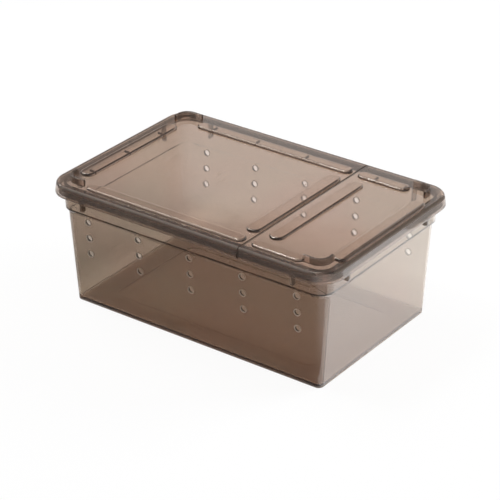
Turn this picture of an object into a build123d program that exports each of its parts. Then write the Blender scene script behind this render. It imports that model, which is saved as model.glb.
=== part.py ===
from build123d import *
from math import atan, degrees, radians, tan
import os

# Small-animal hibernation box: a drafted tub and two lift-off covers that meet at a seam.
# Millimetres. The origin is the centre of the underside, +X runs along the length towards
# the small feeding cover, the front long wall is at -Y, and +Z is up.

# Closed box
box_length = 190.0          # over the lower edge of the cover skirts
box_width = 125.0
cover_top_height = 75.0     # underside of the tub to the flat top of the covers

# Tub
rim_overhang = 5.55         # foot of the band above the shoulder to the edge of the box
base_corner_radius = 3.3
base_edge_radius = 0.7
tub_wall = 1.5
floor_thickness = 2.0
floor_inner_radius = 1.2
side_draft = 3.6            # how far each wall leans out between underside and shoulder
shoulder_from_top = 18.2    # outside line where the wall steps out to the top of the box
shoulder_rise = 2.2
shoulder_step = 1.7
band_draft = 0.5            # how far the band above the shoulder leans out
foot_rim_width = 15.6       # ring that the tub stands on, round the shallow recess
foot_recess_depth = 0.6
foot_recess_radius = 6.0

# Vent holes in both long walls
vent_diameter = 3.3
vent_edge_round = 0.5
vent_columns = 5
vent_rows = 3
vent_from_end = 24.4        # middle of an outer column to the end of the box
vent_row_pitch = 10.0
vent_from_shoulder = 13.0   # down to the middle row

# Rim flange of the tub with its turned-down lip, and the nesting ribs under it
flange_thickness = 1.8
flange_edge_round = 0.5
lip_depth = 4.0             # rim to the lower edge of the lip
lip_wall = 1.4
lip_edge_round = 0.3
rib_thickness = 1.3
rib_length = 9.0            # down from the underside of the flange
side_rib_inset = 0.1        # outer face of a rib on a long wall behind the lip's lower edge
end_rib_inset = 0.85
rib_foot_round = 1.0
rib_from_corner_x = 24.3    # middle of a rib on a long wall to the end of the box
rib_from_corner_y = 24.3    # middle of a rib on an end wall to the side of the box

# Covers
cover_plate = 1.5
skirt_wall = 1.4
skirt_height = 6.5
skirt_flare = 0.9           # the lower edge stands out this far past the top
skirt_lip = 1.0             # upright band along the lower edge
cover_corner_radius = 14.5  # at the lower edge of the skirt
cover_edge_round = 1.5
skirt_foot_round = 0.4
cover_rest_gap = 0.3        # rim of the tub to the plate of a cover
skirt_clearance = 0.5       # edge of the flange to the inside of the skirt, at the rim
seam_from_end = 57.4        # middle of the seam to the small cover's end of the box
seam_gap = 0.5

# Stiffening beads, solid and flat-topped with a rounded edge. The pattern that they form is
# symmetrical, but it lies a little off the middle of the box.
bead_height = 1.5
bead_edge_round = 1.2
wide_bead_width = 9.2       # end and seam beads
side_bead_width = 7.6
pattern_x = 2.6             # middle of the pattern from the middle of the box
pattern_y = -2.8
end_bead_inset = 10.0       # middle of an end bead to the end of the box, before that offset
side_bead_inset = 12.4
wide_bead_margin = 21.5     # each end of an end or seam bead to the side of the box, likewise
main_seam_bead_gap = 0.3    # flank of a seam bead to the cut edge of its cover
small_seam_bead_gap = 4.9
long_bead_from_end = 23.8   # outer end of a main cover's side bead to the end of the box
long_bead_to_seam = 1.25    # its inner end to the cut edge
short_bead_from_end = 21.1
short_bead_to_seam = 3.15

# Nibs under the plate, below the rear beads and the main cover's end bead
nib_thickness = 0.8
nib_length = 3.2
nib_height = 1.0
nib_behind = 1.7                              # rear nibs behind the middle of their bead
end_nib_places = (-33.2, -2.6, 28.0)    # from the middle of the bead
long_outer_nibs = (11.0, 41.5)          # from the outer end of the bead
long_inner_nibs = (31.5, 1.8)           # from its inner end
short_outer_nibs = (3.5, 22.3)

# Stacking lugs, one at each corner
lug_thickness = 1.5
lug_height = 4.0
lug_inset = 9.1             # middle of the lug wall to the edge of the box
lug_corner_radius = 6.0     # on the middle of the wall
lug_leg_x = 6.6             # straight stretch beyond the bend, along a long wall
lug_leg_y = 3.3             # and along an end wall
lug_edge_round = 0.4

place_margin = 0.01         # for finding an edge by where it lies

# Sizes that follow
base_length = box_length - 2 * (rim_overhang + shoulder_step + side_draft)
base_width = box_width - 2 * (rim_overhang + shoulder_step + side_draft)
shoulder_height = cover_top_height - shoulder_from_top
shoulder_length = base_length + 2 * side_draft
shoulder_width = base_width + 2 * side_draft
shoulder_radius = base_corner_radius + side_draft
band_length = shoulder_length + 2 * shoulder_step
band_width = shoulder_width + 2 * shoulder_step
band_radius = shoulder_radius + shoulder_step
band_height = shoulder_height + shoulder_rise
plate_underside = cover_top_height - cover_plate
rim_height = plate_underside - cover_rest_gap
flange_underside = rim_height - flange_thickness
skirt_bottom = cover_top_height - skirt_height
skirt_lean = skirt_flare / (skirt_height - skirt_lip)
skirt_inset_at_rim = skirt_wall + skirt_lean * (rim_height - skirt_bottom - skirt_lip)
flange_drop = skirt_inset_at_rim + skirt_clearance
flange_length = box_length - 2 * flange_drop
flange_width = box_width - 2 * flange_drop
flange_radius = cover_corner_radius - flange_drop
lip_bottom = rim_height - lip_depth
lip_lean = skirt_lean * lip_depth
lip_length = flange_length + 2 * lip_lean
lip_width = flange_width + 2 * lip_lean
lip_radius = flange_radius + lip_lean
seam_x = box_length / 2 - seam_from_end
main_cut_x = seam_x - seam_gap / 2
small_cut_x = seam_x + seam_gap / 2
vent_column_pitch = (box_length - 2 * vent_from_end) / (vent_columns - 1)
rib_x = box_length / 2 - rib_from_corner_x
rib_y = box_width / 2 - rib_from_corner_y
rib_reach_x = lip_length / 2 - end_rib_inset
rib_reach_y = lip_width / 2 - side_rib_inset
rib_bottom = flange_underside - rib_length

side_angle = degrees(atan(side_draft / shoulder_height))
shoulder_angle = degrees(atan(shoulder_step / shoulder_rise))
band_angle = degrees(atan(band_draft / (rim_height - band_height)))
skirt_angle = degrees(atan(skirt_lean))

# The inside of the shoulder lies a little higher, so that the wall keeps its thickness
inner_rise = tub_wall * tan(radians(shoulder_angle / 2))
inner_shoulder_height = shoulder_height + inner_rise
inner_band_height = band_height + inner_rise
floor_draft = side_draft * floor_thickness / shoulder_height
inner_side_draft = side_draft * (inner_shoulder_height - floor_thickness) / shoulder_height
inset_at_floor = tub_wall - floor_draft


# Tub
with BuildPart() as tub:
    # Flange and lip as one block that leans in like the skirt around it, hollowed from below
    with BuildSketch(Plane.XY.offset(lip_bottom)):
        RectangleRounded(lip_length, lip_width, lip_radius)
    extrude(amount=lip_depth, taper=skirt_angle)
    fillet(tub.edges().group_by(Axis.Z)[-1], flange_edge_round)
    with BuildSketch(Plane.XY.offset(lip_bottom)):
        RectangleRounded(
            lip_length - 2 * lip_wall,
            lip_width - 2 * lip_wall,
            lip_radius - lip_wall,
        )
    extrude(amount=lip_depth - flange_thickness, taper=skirt_angle, mode=Mode.SUBTRACT)
    fillet(tub.edges().group_by(Axis.Z)[0], lip_edge_round)

    # Drafted wall, shoulder and band, each standing on the one below
    with BuildSketch(Plane.XY):
        RectangleRounded(base_length, base_width, base_corner_radius)
    extrude(amount=shoulder_height, taper=-side_angle)
    with BuildSketch(Plane.XY.offset(shoulder_height)):
        RectangleRounded(shoulder_length, shoulder_width, shoulder_radius)
    extrude(amount=shoulder_rise, taper=-shoulder_angle)
    with BuildSketch(Plane.XY.offset(band_height)):
        RectangleRounded(band_length, band_width, band_radius)
    extrude(amount=rim_height - band_height, taper=-band_angle)
    fillet(tub.edges().group_by(Axis.Z)[0], base_edge_radius)

    # Nesting ribs, up into the space behind the lip and down past it
    for height, reach_x, reach_y in (
        (lip_depth - flange_thickness, (flange_length - lip_wall) / 2, (flange_width - lip_wall) / 2),
        (rib_bottom - lip_bottom, rib_reach_x, rib_reach_y),
    ):
        with BuildSketch(Plane.XY.offset(lip_bottom)):
            with Locations((rib_x, 0), (-rib_x, 0)):
                Rectangle(rib_thickness, 2 * reach_y)
            with Locations((0, rib_y), (0, -rib_y)):
                Rectangle(2 * reach_x, rib_thickness)
        extrude(amount=height)
    rib_feet = tub.edges().filter_by(
        lambda e: abs(e.center().Z - rib_bottom) < place_margin
        and (
            abs(abs(e.center().Y) - rib_reach_y) < place_margin
            or abs(abs(e.center().X) - rib_reach_x) < place_margin
        )
    )
    fillet(rib_feet, rib_foot_round)

    # Inside, wall by wall from the floor up
    with BuildSketch(Plane.XY.offset(floor_thickness)):
        RectangleRounded(
            base_length - 2 * inset_at_floor,
            base_width - 2 * inset_at_floor,
            base_corner_radius - inset_at_floor,
        )
    extrude(
        amount=inner_shoulder_height - floor_thickness,
        taper=-side_angle,
        mode=Mode.SUBTRACT,
    )
    inner_inset = inset_at_floor - inner_side_draft
    with BuildSketch(Plane.XY.offset(inner_shoulder_height)):
        RectangleRounded(
            base_length - 2 * inner_inset,
            base_width - 2 * inner_inset,
            base_corner_radius - inner_inset,
        )
    extrude(amount=shoulder_rise, taper=-shoulder_angle, mode=Mode.SUBTRACT)
    with BuildSketch(Plane.XY.offset(inner_band_height)):
        RectangleRounded(
            base_length - 2 * (inner_inset - shoulder_step),
            base_width - 2 * (inner_inset - shoulder_step),
            base_corner_radius - (inner_inset - shoulder_step),
        )
    extrude(amount=rim_height - inner_band_height, taper=-band_angle, mode=Mode.SUBTRACT)
    floor_edges = tub.edges().filter_by(
        lambda e: abs(e.center().Z - floor_thickness) < place_margin
    )
    fillet(floor_edges, floor_inner_radius)

    # Shallow recess under the floor, so that the tub stands on a ring
    with BuildSketch(Plane.XY):
        RectangleRounded(
            base_length - 2 * foot_rim_width,
            base_width - 2 * foot_rim_width,
            foot_recess_radius,
        )
    extrude(amount=foot_recess_depth, mode=Mode.SUBTRACT)

    # Vent holes through both long walls
    with BuildSketch(Plane.XZ):
        with Locations((0, shoulder_height - vent_from_shoulder)):
            with GridLocations(vent_column_pitch, vent_row_pitch, vent_columns, vent_rows):
                Circle(vent_diameter / 2)
    extrude(amount=box_width / 2, both=True, mode=Mode.SUBTRACT)
    vent_edges = tub.edges().filter_by(lambda e: e.is_closed)
    fillet(vent_edges, vent_edge_round)
tub.part.label = "tub"


# Both covers start as one tray with a skirt all round and a lug at each corner
with BuildPart() as cover_blank:
    with BuildSketch(Plane.XY.offset(skirt_bottom)):
        RectangleRounded(box_length, box_width, cover_corner_radius)
    extrude(amount=skirt_lip)
    with BuildSketch(Plane.XY.offset(skirt_bottom + skirt_lip)):
        RectangleRounded(box_length, box_width, cover_corner_radius)
    extrude(amount=skirt_height - skirt_lip, taper=skirt_angle)
    fillet(cover_blank.edges().group_by(Axis.Z)[-1], cover_edge_round)
    for start, height, lean in (
        (skirt_bottom, skirt_lip, 0),
        (skirt_bottom + skirt_lip, skirt_height - skirt_lip - cover_plate, skirt_angle),
    ):
        with BuildSketch(Plane.XY.offset(start)):
            RectangleRounded(
                box_length - 2 * skirt_wall,
                box_width - 2 * skirt_wall,
                cover_corner_radius - skirt_wall,
            )
        extrude(amount=height, taper=lean, mode=Mode.SUBTRACT)
    fillet(cover_blank.edges().group_by(Axis.Z)[0], skirt_foot_round)

    # Corner lugs, cut from a rectangular ring
    lug_ring_length = box_length - 2 * lug_inset
    lug_ring_width = box_width - 2 * lug_inset
    with BuildSketch(Plane.XY.offset(plate_underside + cover_plate / 2)):
        RectangleRounded(
            lug_ring_length + lug_thickness,
            lug_ring_width + lug_thickness,
            lug_corner_radius + lug_thickness / 2,
        )
        RectangleRounded(
            lug_ring_length - lug_thickness,
            lug_ring_width - lug_thickness,
            lug_corner_radius - lug_thickness / 2,
            mode=Mode.SUBTRACT,
        )
        Rectangle(
            lug_ring_length - 2 * (lug_corner_radius + lug_leg_x),
            box_width,
            mode=Mode.SUBTRACT,
        )
        Rectangle(
            box_length,
            lug_ring_width - 2 * (lug_corner_radius + lug_leg_y),
            mode=Mode.SUBTRACT,
        )
    extrude(amount=lug_height + cover_plate / 2)
    fillet(cover_blank.edges().group_by(Axis.Z)[-1], lug_edge_round)


# A bead lies along X, centred on its own middle, with its underside at z = 0
def make_bead(length, width):
    with BuildPart() as bead:
        with BuildSketch():
            SlotOverall(length, width)
        extrude(amount=bead_height)
        fillet(bead.edges().group_by(Axis.Z)[-1], bead_edge_round)
    return bead.part


wide_bead_length = box_width - 2 * wide_bead_margin
long_bead_length = main_cut_x + box_length / 2 - long_bead_from_end - long_bead_to_seam
short_bead_length = box_length / 2 - small_cut_x - short_bead_from_end - short_bead_to_seam
wide_bead = make_bead(wide_bead_length, wide_bead_width)
long_bead = make_bead(long_bead_length, side_bead_width)
short_bead = make_bead(short_bead_length, side_bead_width)

main_end_bead_x = pattern_x - box_length / 2 + end_bead_inset
small_end_bead_x = pattern_x + box_length / 2 - end_bead_inset
rear_bead_y = pattern_y + box_width / 2 - side_bead_inset
front_bead_y = pattern_y - box_width / 2 + side_bead_inset
main_seam_bead_x = main_cut_x - main_seam_bead_gap - wide_bead_width / 2
small_seam_bead_x = small_cut_x + small_seam_bead_gap + wide_bead_width / 2
long_bead_x = -box_length / 2 + long_bead_from_end + long_bead_length / 2
short_bead_x = box_length / 2 - short_bead_from_end - short_bead_length / 2

rear_nib_y = rear_bead_y + nib_behind
long_nibs = [
    (long_bead_x - long_bead_length / 2 + place, rear_nib_y) for place in long_outer_nibs
] + [
    (long_bead_x + long_bead_length / 2 - place, rear_nib_y) for place in long_inner_nibs
]
short_nibs = [
    (short_bead_x + short_bead_length / 2 - place, rear_nib_y) for place in short_outer_nibs
]
end_nibs = [(main_end_bead_x, pattern_y + place) for place in end_nib_places]
nib_top = plate_underside + cover_plate / 2    # inside the plate, so that the two join


# Main cover
with BuildPart() as main_cover:
    add(cover_blank.part)
    split(bisect_by=Plane.YZ.offset(main_cut_x), keep=Keep.BOTTOM)
    with Locations(
        (main_end_bead_x, pattern_y, cover_top_height),
        (main_seam_bead_x, pattern_y, cover_top_height),
    ):
        add(wide_bead, rotation=(0, 0, 90))
    with Locations(
        (long_bead_x, rear_bead_y, cover_top_height),
        (long_bead_x, front_bead_y, cover_top_height),
    ):
        add(long_bead)
    with BuildSketch(Plane.XY.offset(nib_top)):
        with Locations(*long_nibs):
            Rectangle(nib_thickness, nib_length)
        with Locations(*end_nibs):
            Rectangle(nib_length, nib_thickness)
    extrude(amount=plate_underside - nib_top - nib_height)
main_cover.part.label = "main_cover"


# Feeding cover
with BuildPart() as feeding_cover:
    add(cover_blank.part)
    split(bisect_by=Plane.YZ.offset(small_cut_x), keep=Keep.TOP)
    with Locations(
        (small_end_bead_x, pattern_y, cover_top_height),
        (small_seam_bead_x, pattern_y, cover_top_height),
    ):
        add(wide_bead, rotation=(0, 0, 90))
    with Locations(
        (short_bead_x, rear_bead_y, cover_top_height),
        (short_bead_x, front_bead_y, cover_top_height),
    ):
        add(short_bead)
    with BuildSketch(Plane.XY.offset(nib_top)):
        with Locations(*short_nibs):
            Rectangle(nib_thickness, nib_length)
    extrude(amount=plate_underside - nib_top - nib_height)
feeding_cover.part.label = "feeding_cover"


os.makedirs("parts", exist_ok=True)
export_step(tub.part, "parts/tub.step")
export_step(main_cover.part, "parts/main_cover.step")
export_step(feeding_cover.part, "parts/feeding_cover.step")
for piece in (tub.part, main_cover.part, feeding_cover.part):
    print(piece.label, len(piece.solids()), "solid,", round(piece.volume), "cubic mm")
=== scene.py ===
import math

import bpy
from mathutils import Matrix, Vector

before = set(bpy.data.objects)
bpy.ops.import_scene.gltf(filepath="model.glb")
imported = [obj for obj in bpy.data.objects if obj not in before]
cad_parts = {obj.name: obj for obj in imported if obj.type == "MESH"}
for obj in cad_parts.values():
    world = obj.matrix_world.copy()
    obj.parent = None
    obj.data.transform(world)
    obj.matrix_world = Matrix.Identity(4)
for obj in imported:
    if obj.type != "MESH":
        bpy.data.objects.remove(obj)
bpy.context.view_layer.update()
scene = bpy.context.scene
print("frame:", ", ".join(sorted(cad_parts)))


class Wire:
    # An output socket that takes + - * and |, with numbers or with other wires
    def __init__(self, socket):
        self.socket = socket

    def maths(self, operation, first, second):
        tree = self.socket.id_data
        node = tree.nodes.new("ShaderNodeMath")
        node.operation = operation
        for index, value in enumerate((first, second)):
            if isinstance(value, Wire):
                tree.links.new(value.socket, node.inputs[index])
            else:
                node.inputs[index].default_value = value
        return Wire(node.outputs[0])

    def __add__(self, other):
        return self.maths("ADD", self, other)

    def __radd__(self, other):
        return self.maths("ADD", other, self)

    def __sub__(self, other):
        return self.maths("SUBTRACT", self, other)

    def __rsub__(self, other):
        return self.maths("SUBTRACT", other, self)

    def __mul__(self, other):
        return self.maths("MULTIPLY", self, other)

    def __rmul__(self, other):
        return self.maths("MULTIPLY", other, self)

    def __or__(self, other):  # the larger of two masks
        return self.maths("MAXIMUM", self, other)


class Finish:
    # The nodes of one material or of the world, and the one method that makes them
    def __init__(self, owner):
        owner.use_nodes = True
        self.owner = owner
        self.tree = owner.node_tree
        self.tree.nodes.clear()

    def node(self, kind, settings=None, inputs=None, output=0):
        made = self.tree.nodes.new(kind)
        for name, value in (settings or {}).items():
            setattr(made, name, value)
        for name, value in (inputs or {}).items():
            if isinstance(value, Wire):
                self.tree.links.new(value.socket, made.inputs[name])
            else:
                made.inputs[name].default_value = value
        return Wire(made.outputs[output]) if made.outputs else None

    def ramp(self, value, start, end, low=0.0, high=1.0):
        return self.node("ShaderNodeMapRange", {"interpolation_type": "SMOOTHSTEP"}, {
            "Value": value, "From Min": start, "From Max": end, "To Min": low, "To Max": high})

    def noise(self, place, size, detail=2.0):
        return self.node("ShaderNodeTexNoise", inputs={
            "Vector": place, "Scale": 1 / size, "Detail": detail, "Roughness": 0.5}, output="Fac")

    def part(self, vector, axis):
        return self.node("ShaderNodeSeparateXYZ", inputs={0: vector}, output=axis)

    def outside(self, place, outline):
        # 1 beyond an upright box round the middle, 0 inside it, from its half length and half width
        extent = self.node("ShaderNodeVectorMath", {"operation": "ABSOLUTE"}, {0: place})
        pastEnd = self.part(extent, "X") - outline[0]
        pastSide = self.part(extent, "Y") - outline[1]
        return self.ramp(pastEnd | pastSide, 0.0, 0.0002)

    def mixedShaders(self, share, first, second):
        return self.node("ShaderNodeMixShader", inputs={0: share, 1: first, 2: second})

    def ray(self, kind):
        return self.node("ShaderNodeLightPath", output=kind)


tubPlastic = {
    "absorbed": (60.0, 90.0, 113.0),     # per metre of plastic, in red, green and blue
    "haze": 0.025,
    "shine": (0.018, 0.045),             # roughness, from clean to handled
    "rubbedShine": 0.16,
    "rosy": (0.693, 0.610, 0.545, 1.0),
    "olive": (0.677, 0.628, 0.558, 1.0),
    "patchSize": 0.060,
    "rippleSize": 0.024,
    "rippleHeight": 0.00004,
    "grainHeight": 0.0000012,
    # pale colour of the painted light on the foot and the painted highlight on the vents' rims
    "paintedSpotColour": (0.85, 0.75, 0.66, 1.0),
    "paintedEdgeShade": 0.28,                   # painted shade on thick edges and ribs, 1 leaves them as clear as the walls
    "scratchSpread": (14.0, 60.0, 38.0),
    "scratchDepth": 0.000006,
}

tubPlaces = {                            # metres and half sizes, in the frame of the CAD
    "band": (0.0897, 0.0573),            # the flange, its lip and the ribs stand out from it
    # painted light on the foot, lifting the contact shade along its bottom edge
    "foot": (0.0832, 0.0507),
    "footTop": (0.0018, 0.0009),
    "footPaintedLight": 0.32,
    "rubbedBelow": (0.0016, 0.0004),
    # painted highlight on the rounded edges of the vents in three rows
    "ventPitch": (0.0353, 0.010),        # along the wall and upwards
    "ventMiddle": 0.0438,
    "ventReach": (1.5, 1.4),             # rows from the middle one, so that only three get the painted highlight
    "ventInner": (0.0017, 0.0018),       # radii between which a vent's rounded edge lies
    "ventOuter": (0.0022, 0.0021),
    "ventPaintedHighlight": 0.75,
}

coverPlastic = {
    "absorbed": (58.0, 86.0, 108.0),
    "haze": 0.020,
    "shine": (0.018, 0.040),
    "rubbedShine": 0.50,
    "rosy": (0.860, 0.743, 0.688, 1.0),
    "olive": (0.847, 0.757, 0.698, 1.0),
    "patchSize": 0.075,
    "rippleSize": 0.030,
    "rippleHeight": 0.00003,
    "grainHeight": 0.0000010,
    # dark colour of the painted shade on the seam, the nibs and the skirt's upper edge
    "paintedSpotColour": (0.09, 0.065, 0.05, 1.0),
    # how dark the painted shade on the seam, the lugs and the skirt is
    "paintedEdgeShade": 0.12,
    "scratchSpread": (52.0, 16.0, 30.0),
    "scratchDepth": 0.000007,
}

coverPlaces = {
    "seam": 0.0376,
    "seamReach": (0.0005, 0.0004),       # from the middle of the gap, past its sheared faces
    "seamPaintedShade": 0.5,
    # painted shade on the lugs, the skirt and its rear side
    "lugsPast": ((0.0775, 0.0780), (0.0445, 0.0450)),
    "lugsAbove": (0.0751, 0.0753),
    "lugShade": 0.7,
    "lugTops": (0.0778, 0.0789),
    "lugRubbing": 0.5,
    "skirt": (0.0925, 0.0605),
    "skirtShade": 0.36,
    "rearFrom": (0.0600, 0.0606),
    "rearShade": 0.46,                   # more painted shade, on the rear side
    # painted shade on the nibs and on the skirt's upper edge
    "nibs": (0.0880, 0.0560),
    "nibsBelow": (0.07346, 0.07342),
    "nibPaintedShade": 0.85,
    "upperEdge": (0.0926, 0.0603),
    "upperEdgeAbove": (0.0731, 0.0737),
    "upperEdgePaintedShade": 0.30,
}

bothPlastics = {
    "ior": 1.57,
    "lampShare": 0.94,                   # of a lamp's light, past each face
    "patchSpan": (0.36, 0.64),           # values of the noise, from olive to rosy
    "paintedShadeHue": (1.0, 0.94, 0.9),
    "scratchTurn": (0.3, 0.5, 0.7),
    "scratchScale": 3.0,
    "scratchWidth": 0.012,
    "scratchPatch": 0.012,
    "scratchSpan": (0.52, 0.60),
    "scratchShine": 0.12,
    "handledSize": 0.028,
    "handledSpan": (0.40, 0.66),
    "grainSize": 0.0009,
    "density": 1000.0,                   # large, so that the smoke's colour stays between 0 and 1
}


def squareRamp(finish, square, reach):
    # a ramp over a distance of which the square is known
    return finish.ramp(square, reach[0] ** 2, reach[1] ** 2)


def tubPaintedShadeTint(finish, place, height):
    # painted shade: the flange, its lip and the ribs are tinted darker
    return finish.outside(place, tubPlaces["band"])


def tubPaintedLightSpots(finish, place, height):
    # painted light: the foot made pale to lift the dark contact shade along its bottom edge, and a painted
    # highlight on the rounded edges of the vents
    spots = tubPlaces
    foot = finish.ramp(height, *spots["footTop"], 0.0, spots["footPaintedLight"]) * finish.outside(place, spots["foot"])
    pitch, pitchUp = spots["ventPitch"]
    columns = finish.part(place, "X") * (1 / pitch)
    rows = (height - spots["ventMiddle"]) * (1 / pitchUp)
    fromColumn = finish.node("ShaderNodeMath", {"operation": "PINGPONG"}, {0: columns, 1: 0.5}) * pitch
    fromRow = finish.node("ShaderNodeMath", {"operation": "PINGPONG"}, {0: rows, 1: 0.5}) * pitchUp
    fromVent = fromColumn * fromColumn + fromRow * fromRow
    ventRimHighlight = squareRamp(finish, fromVent, spots["ventOuter"]) * squareRamp(finish, fromVent, spots["ventInner"])
    threeRows = squareRamp(finish, rows * rows, spots["ventReach"])
    return foot | ventRimHighlight * threeRows * spots["ventPaintedHighlight"]


def tubRubbing(finish, place, height):
    # the underside, which slides on the table
    return finish.ramp(height, *tubPlaces["rubbedBelow"])


def coverSeam(finish, place):
    fromSeam = finish.part(place, "X") - coverPlaces["seam"]
    return squareRamp(finish, fromSeam * fromSeam, coverPlaces["seamReach"])


def coverPaintedShadeTint(finish, place, height):
    # painted shade in the tint: the cut edges along the seam, the lugs at the corners, and the skirt with the
    # rim behind it, darker still on the rear side
    spots = coverPlaces
    extent = finish.node("ShaderNodeVectorMath", {"operation": "ABSOLUTE"}, {0: place})
    nearEnd = finish.ramp(finish.part(extent, "X"), *spots["lugsPast"][0])
    nearSide = finish.ramp(finish.part(extent, "Y"), *spots["lugsPast"][1])
    lugs = nearEnd * nearSide * finish.ramp(height, *spots["lugsAbove"], 0.0, spots["lugShade"])
    rearSide = finish.ramp(finish.part(place, "Y"), *spots["rearFrom"])
    skirt = finish.outside(place, spots["skirt"]) * (rearSide * spots["rearShade"] + spots["skirtShade"])
    return coverSeam(finish, place) | lugs | skirt


def coverUpperEdge(finish, place, height):
    above = finish.ramp(height, *coverPlaces["upperEdgeAbove"])
    return above * finish.outside(place, coverPlaces["upperEdge"])


def coverPaintedShadeSpots(finish, place, height):
    # painted shade: an opaque dark colour on the sheared faces of the seam, on the nibs under the plates and on
    # the skirt's upper edge
    spots = coverPlaces
    seam = coverSeam(finish, place) * spots["seamPaintedShade"]
    below = finish.ramp(height, *spots["nibsBelow"], 0.0, spots["nibPaintedShade"])
    nibs = below * (1 - finish.outside(place, spots["nibs"]))
    return seam | nibs | coverUpperEdge(finish, place, height) * spots["upperEdgePaintedShade"]


def coverRubbing(finish, place, height):
    # the tops of the lugs, which carry the next box, and the upper edge of the skirt
    lugTops = finish.ramp(height, *coverPlaces["lugTops"], 0.0, coverPlaces["lugRubbing"])
    return lugTops | coverUpperEdge(finish, place, height)


def makeSmokyPlastic(name, look, edges, rubbing, paintedSpotsMask):
    look = {**bothPlastics, **look}
    finish = Finish(bpy.data.materials.new(name))
    place = finish.node("ShaderNodeTexCoord", output="Object")
    height = finish.part(place, "Z")

    # Smoke that leans rosy in some patches and olive in others, with painted shade on thick edges
    patches = finish.ramp(finish.noise(place, look["patchSize"], detail=1.0), *look["patchSpan"])
    tint = finish.node("ShaderNodeMix", {"data_type": "RGBA"}, {
        "Factor": patches, "A": look["olive"], "B": look["rosy"]}, output="Result")
    # painted shade: the tint is mixed towards a dark colour where the edge mask is on
    paintedShadeColour = tuple(look["paintedEdgeShade"] * share for share in look["paintedShadeHue"]) + (1.0,)
    tint = finish.node("ShaderNodeMix", {"data_type": "RGBA"}, {
        "Factor": edges(finish, place, height), "A": tint, "B": paintedShadeColour}, output="Result")

    # Hair scratches: the edges of long cells, kept only here and there
    turned = finish.node("ShaderNodeMapping", inputs={
        "Vector": place, "Rotation": look["scratchTurn"], "Scale": look["scratchSpread"]})
    cells = finish.node("ShaderNodeTexVoronoi", {"feature": "DISTANCE_TO_EDGE"}, {
        "Vector": turned, "Scale": look["scratchScale"]})
    kept = finish.ramp(finish.noise(place, look["scratchPatch"]), *look["scratchSpan"])
    scratch = finish.ramp(cells, look["scratchWidth"], 0.0) * kept

    # Fingers and cloths leave the shine uneven
    handled = finish.ramp(finish.noise(place, look["handledSize"], detail=4.0), *look["handledSpan"])
    clean, dulled = look["shine"]
    worn = handled * (dulled - clean) + clean + scratch * look["scratchShine"]
    roughness = worn | rubbing(finish, place, height) * look["rubbedShine"]

    ripple = finish.node("ShaderNodeBump", inputs={
        "Height": finish.noise(place, look["rippleSize"], detail=1.0), "Distance": look["rippleHeight"]})
    grain = finish.node("ShaderNodeBump", inputs={
        "Height": finish.noise(place, look["grainSize"]), "Distance": look["grainHeight"], "Normal": ripple})
    scored = finish.node("ShaderNodeBump", {"invert": True}, {
        "Height": scratch, "Distance": look["scratchDepth"], "Normal": grain})

    glass = finish.node("ShaderNodeBsdfPrincipled", inputs={
        "Base Color": tint,
        "Roughness": roughness,
        "IOR": look["ior"],
        "Transmission Weight": 1 - look["haze"],
        "Normal": scored,
    })
    # painted light and shade: an opaque diffuse mixed in, pale on the tub's foot and vents, dark on the covers'
    # seam, nibs and upper edge
    paintedSpotDiffuse = finish.node("ShaderNodeBsdfDiffuse", inputs={"Color": look["paintedSpotColour"]})
    withPaintedSpots = finish.mixedShaders(paintedSpotsMask(finish, place, height), glass, paintedSpotDiffuse)

    # Lamps shine through the walls, less what their two faces turn back
    middle = [(rosy + olive) / 2 for rosy, olive in zip(look["rosy"], look["olive"])]
    letThrough = tuple(look["lampShare"] * math.sqrt(share) for share in middle[:3]) + (1.0,)
    passing = finish.node("ShaderNodeBsdfTransparent", inputs={"Color": letThrough})
    surface = finish.mixedShaders(finish.ray("Is Shadow Ray") | finish.ray("Is Diffuse Ray"), withPaintedSpots, passing)
    smokeColour = tuple(1 - taken / look["density"] for taken in look["absorbed"]) + (1.0,)
    smoke = finish.node("ShaderNodeVolumeAbsorption", inputs={
        "Color": smokeColour, "Density": look["density"]})
    finish.node("ShaderNodeOutputMaterial", inputs={"Surface": surface, "Volume": smoke})
    return finish.owner


tubMaterial = makeSmokyPlastic("smokyTubPlastic", tubPlastic, tubPaintedShadeTint, tubRubbing, tubPaintedLightSpots)
coverMaterial = makeSmokyPlastic("smokyCoverPlastic", coverPlastic, coverPaintedShadeTint, coverRubbing, coverPaintedShadeSpots)
mouldings = {"tub": tubMaterial, "main_cover": coverMaterial, "feeding_cover": coverMaterial}
for nodeName, material in mouldings.items():
    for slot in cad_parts[nodeName].material_slots:
        slot.material = material
print("plastic on", len(mouldings), "mouldings")


# The photograph's camera, in metres, millimetres of lens and degrees of roll
camera = {
    "place": (0.61347, -0.83507, 0.58857),
    "aim": (0.000266, 0.000196, 0.035215),
    "lens": 151.1,
    "sensor": 36.0,
    "roll": -0.147,
    "clip": (0.01, 20.0),
}


def facing(place, aim):
    turn = (Vector(aim) - Vector(place)).to_track_quat("-Z", "Y")
    return Matrix.Translation(place) @ turn.to_matrix().to_4x4()


def makeCamera(look):
    data = bpy.data.cameras.new("photoCamera")
    data.lens = look["lens"]
    data.sensor_width = look["sensor"]
    data.clip_start, data.clip_end = look["clip"]
    made = bpy.data.objects.new("photoCamera", data)
    scene.collection.objects.link(made)
    roll = Matrix.Rotation(math.radians(look["roll"]), 4, "Z")
    made.matrix_world = facing(look["place"], look["aim"]) @ roll
    scene.camera = made


studioFloor = {
    "reach": 6.0,
    "drop": 0.0003,                      # below the foot ring, so that the two don't fight
    "colour": (0.88, 0.88, 0.88, 1.0),
    "glowSeen": 0.92,                    # share of plain white that the camera sees
    "glowInGlass": 0.90,                 # the same through the plastic and mirrored in it
    "glowFrom": (0.078, 0.062),          # right and back edges of the shaded ground under the box
    "glowWidth": 0.060,
    "darkFront": (0.045, 0.062),         # in front, the plastic mirrors painted shade that stands in for the unlit end of the table
    "darkFrontShare": 0.80,
    "darkLeft": (0.084, 0.110),          # and on the left, painted shade in the plastic stands in for the table in half light
    "darkLeftShare": 0.36,
    "paintedShadeStrength": 0.05,
}


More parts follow.
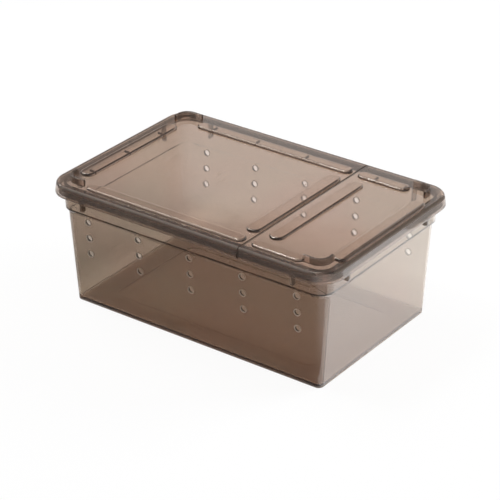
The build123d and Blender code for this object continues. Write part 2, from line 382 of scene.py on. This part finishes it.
def makeFloor(look):
    reach, level = look["reach"], -look["drop"]
    mesh = bpy.data.meshes.new("studioFloor")
    corners = [(-reach, -reach, level), (reach, -reach, level), (reach, reach, level), (-reach, reach, level)]
    mesh.from_pydata(corners, [], [(0, 1, 2, 3)])
    floor = bpy.data.objects.new("studioFloor", mesh)
    scene.collection.objects.link(floor)

    finish = Finish(bpy.data.materials.new("studioFloor"))
    place = finish.node("ShaderNodeTexCoord", output="Object")
    across, along = finish.part(place, "X"), finish.part(place, "Y")
    right, back = look["glowFrom"]
    lit = finish.ramp((across - right) | (along - back), 0.0, look["glowWidth"])
    glossy = finish.ray("Is Glossy Ray")
    inPlastic = finish.ray("Is Transmission Ray") | glossy

    glow = finish.ray("Is Camera Ray") * look["glowSeen"] | inPlastic * lit * look["glowInGlass"]
    paint = finish.node("ShaderNodeBsdfDiffuse", inputs={"Color": look["colour"]})
    white = finish.node("ShaderNodeEmission", inputs={"Color": (1, 1, 1, 1), "Strength": 1.0})
    lightFloor = finish.mixedShaders(glow, paint, white)

    mirror = finish.ray("Is Reflection Ray")
    inFront = finish.ramp(0 - along, *look["darkFront"]) * mirror * look["darkFrontShare"]
    onLeft = finish.ramp(0 - across, *look["darkLeft"]) * inPlastic * look["darkLeftShare"]
    # painted shade: a dim emission mixed into the floor where it is mirrored in front and seen through the
    # plastic on the left
    dark = finish.node("ShaderNodeEmission", inputs={"Strength": look["paintedShadeStrength"]})
    shown = finish.mixedShaders((inFront | onLeft) * (1 - lit), lightFloor, dark)
    finish.node("ShaderNodeOutputMaterial", inputs={"Surface": shown})
    floor.data.materials.append(finish.owner)


lamps = {
    "keyLamp": {
        "place": (0.66, 0.88, 0.62), "aim": (0, 0, 0.04),
        "size": (0.70, 0.70), "power": 16.0, "seenInGloss": False},
    "softboxLamp": {
        "place": (-0.60, 0.03, 0.94), "aim": (0, 0, 0.04),
        "size": (0.60, 0.60), "power": 4.8, "seenInGloss": False},
    "spotLamp": {
        "place": (-0.36, -0.26, 0.95), "aim": (0, 0, 0.04),
        "size": (0.22, 0.22), "power": 3.2, "seenInGloss": True},
    "tableLamp": {                       # a light table beside the right end, facing up
        "place": (0.1675, 0.070, 0.0004), "aim": (0.1675, 0.0701, 1.0),
        "size": (0.165, 0.26), "power": 0.20, "seenInGloss": True},
}


def makeLamp(name, look):
    data = bpy.data.lights.new(name, "AREA")
    data.shape = "RECTANGLE"
    data.size, data.size_y = look["size"]
    data.energy = look["power"]
    lamp = bpy.data.objects.new(name, data)
    scene.collection.objects.link(lamp)
    lamp.visible_camera = False
    lamp.visible_glossy = look["seenInGloss"]
    lamp.visible_transmission = False
    lamp.matrix_world = facing(look["place"], look["aim"])


studioRoom = {
    "light": 0.24,
    "inGlass": 0.50,                     # the dim room, as thick edges show it
    "mirrored": 0.18,                    # and as the gloss mirrors it
    "sweepTop": (0.05, 0.30),            # rise at which the white backdrop gives way to the room
    "panelToward": (0.52, 0.71, 0.47),   # a white panel behind, on the right
    "panelEdge": (0.86, 0.93),
    "boardEnd": 128.3,                   # where a pale board behind ends on the left, in degrees
    "boardSoftness": 0.006,
    "boardTop": (0.457, 0.443),
    "boardSlope": 0.16,
    "boardStrength": 0.72,
    "softboxToward": (-0.57, 0.03, 0.82),
    "softboxEdge": (0.82, 0.93),
    "softboxColour": (1.0, 0.91, 0.82, 1.0),
    "softboxStrength": 5.0,
}


def makeWorld(look):
    world = bpy.data.worlds.new("studio")
    scene.world = world
    sky = Finish(world)
    direction = sky.node("ShaderNodeTexCoord", output="Generated")
    rise = sky.part(direction, "Z")

    def towards(place):
        return sky.node("ShaderNodeVectorMath", {"operation": "DOT_PRODUCT"}, {
            0: direction, 1: place}, output="Value")

    def light(strength, colour=(1, 1, 1, 1)):
        return sky.node("ShaderNodeBackground", inputs={"Color": colour, "Strength": strength})

    white = light(1.0)
    above = sky.ramp(rise, *look["sweepTop"])
    panel = sky.ramp(towards(look["panelToward"]), *look["panelEdge"])
    throughGlass = sky.mixedShaders(above * (1 - panel), white, light(look["inGlass"]))

    # What only the gloss mirrors: the pale board behind, and a softbox overhead
    end = math.radians(look["boardEnd"])
    pastEnd = towards((math.sin(end), -math.cos(end), 0.0))
    underTop = sky.ramp(rise - pastEnd * look["boardSlope"], *look["boardTop"])
    board = sky.ramp(pastEnd, -look["boardSoftness"], look["boardSoftness"]) * underTop
    softbox = sky.ramp(towards(look["softboxToward"]), *look["softboxEdge"])
    room = sky.mixedShaders(board, light(look["mirrored"]), light(look["boardStrength"]))
    room = sky.mixedShaders(above, white, room)
    mirrored = sky.mixedShaders(softbox, room, light(look["softboxStrength"], look["softboxColour"]))

    through, glossy = sky.ray("Is Transmission Ray"), sky.ray("Is Glossy Ray")
    inPlastic = sky.mixedShaders(glossy * (1 - through), throughGlass, mirrored)
    around = sky.mixedShaders(glossy | through, light(look["light"]), inPlastic)
    shown = sky.mixedShaders(sky.ray("Is Camera Ray"), around, white)
    sky.node("ShaderNodeOutputWorld", inputs={"Surface": shown})


makeCamera(camera)
makeFloor(studioFloor)
for lampName, lampLook in lamps.items():
    makeLamp(lampName, lampLook)
makeWorld(studioRoom)
scene.view_settings.view_transform = "Standard"
print("studio")
